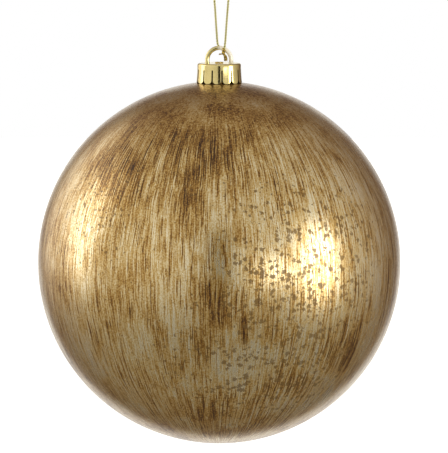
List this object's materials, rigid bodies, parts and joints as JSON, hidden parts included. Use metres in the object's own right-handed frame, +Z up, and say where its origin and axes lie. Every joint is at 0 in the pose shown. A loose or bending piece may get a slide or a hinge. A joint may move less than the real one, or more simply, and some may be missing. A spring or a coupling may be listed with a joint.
{
  "type": "ball ornament",
  "caption": "Large hanging ball ornament: glass ball with a neck, slotted crown cap, wire hanging loop through the cap, and a knotted cord loop.",
  "frame": {"origin": "the hanging point: the top of the inside of the cord's loop, on the ball's axis", "axes": "+Z up along the axis of ball, neck and cap; +X across the wire loop, in its plane; -Y is the front"},
  "size_m": [0.15, 0.15, 0.2041],
  "materials": {
    "lacquered_glass": "champagne gold lacquer, brushed brown glaze and flecks under a clear coat",
    "gold_plated_cap": "bright gold plating",
    "gold_plated_wire": "bright gold plating",
    "metallic_cord": "twisted metallic gold thread"
  },
  "bodies": {
    "cord": {"hanging_cord": "metallic_cord", "cord_knot": "metallic_cord"},
    "hanger": {"wire_hanger": "gold_plated_wire"},
    "cap": {"cap_crown": "gold_plated_cap"},
    "ball": {"glass_ball": "lacquered_glass"}
  },
  "joints": [
    {"name": "swing", "type": "hinge", "parent": "cord", "child": "hanger", "pos_m": [0, 0, -0.0392], "axis": [1, 0, 0], "range_deg": [-40, 40]},
    {"name": "loop_play", "type": "slide", "parent": "hanger", "child": "cap", "axis": [0, 0, 1], "range_m": [0, 0.0006]},
    {"name": "cap_pull", "type": "slide", "parent": "cap", "child": "ball", "axis": [0, 0, -1], "range_m": [0, 0.03]}
  ]
}
